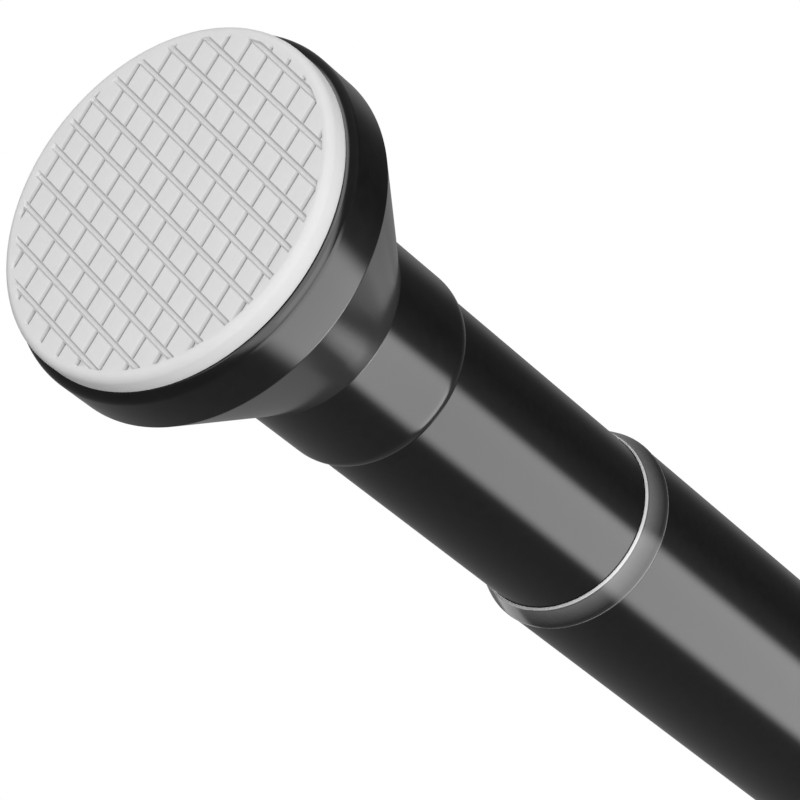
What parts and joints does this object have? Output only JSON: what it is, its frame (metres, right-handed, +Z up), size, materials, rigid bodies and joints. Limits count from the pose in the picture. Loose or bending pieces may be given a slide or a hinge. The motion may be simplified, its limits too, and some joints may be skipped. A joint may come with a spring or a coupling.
{
  "type": "spring tension rod",
  "caption": "Telescoping twist-lock tension rod that an inner spring presses between two facing walls with grooved soft pads, to carry a light curtain.",
  "frame": {"origin": "centre of the front pad's wall face, on the rod's axis", "axes": "+X along the rod from the front wall towards the rear wall, +Z up, +Y across"},
  "size_m": [0.54, 0.0482, 0.0482],
  "materials": {
    "tube": "semi-gloss black powder coat",
    "cup": "semi-gloss black moulding",
    "ring": "smoky dark grey moulding",
    "pad": "matte white soft rubber",
    "plug": "plain black moulding",
    "lock": "natural moulding",
    "steel": "zinc-plated steel"
  },
  "bodies": {
    "outer": {"outer_tube": "tube", "mouth_ring": "ring", "rear_foot_cup": "cup", "rear_pad": "pad", "rear_tube_plug": "plug", "rear_foot_screw": "steel"},
    "lock_sleeve": {"lock_sleeve": "lock"},
    "lock_cone": {"lock_cone": "lock"},
    "plunger": {"spindle": "lock", "plunger_washer": "steel", "plunger_screw": "steel", "end_washer": "steel", "end_screw": "steel"},
    "inner": {"inner_tube": "tube", "guide_bush": "plug", "spring_stop": "plug", "front_foot_cup": "cup", "front_pad": "pad", "front_tube_plug": "plug", "front_foot_screw": "steel", "compression_spring": "steel"}
  },
  "joints": [
    {"name": "telescope", "type": "slide", "parent": "outer", "child": "lock_sleeve", "axis": [-1, 0, 0], "range_m": [-0.013, 0.24]},
    {"name": "twist", "type": "hinge", "parent": "lock_sleeve", "child": "plunger", "pos_m": [0.386, 0, 0], "axis": [1, 0, 0], "range_deg": [-540, 0]},
    {"name": "spring_travel", "type": "slide", "parent": "plunger", "child": "inner", "axis": [1, 0, 0], "range_m": [0, 0.03], "stiffness_N_per_m": 1500, "springref_m": -0.02, "deforming": ["compression_spring"]},
    {"name": "cone_travel", "type": "slide", "parent": "lock_sleeve", "child": "lock_cone", "axis": [1, 0, 0], "range_m": [0, 0.003]}
  ],
  "couplings": [
    {"joint": "cone_travel", "follows": "twist", "m_per_rad": -0.00031831}
  ]
}
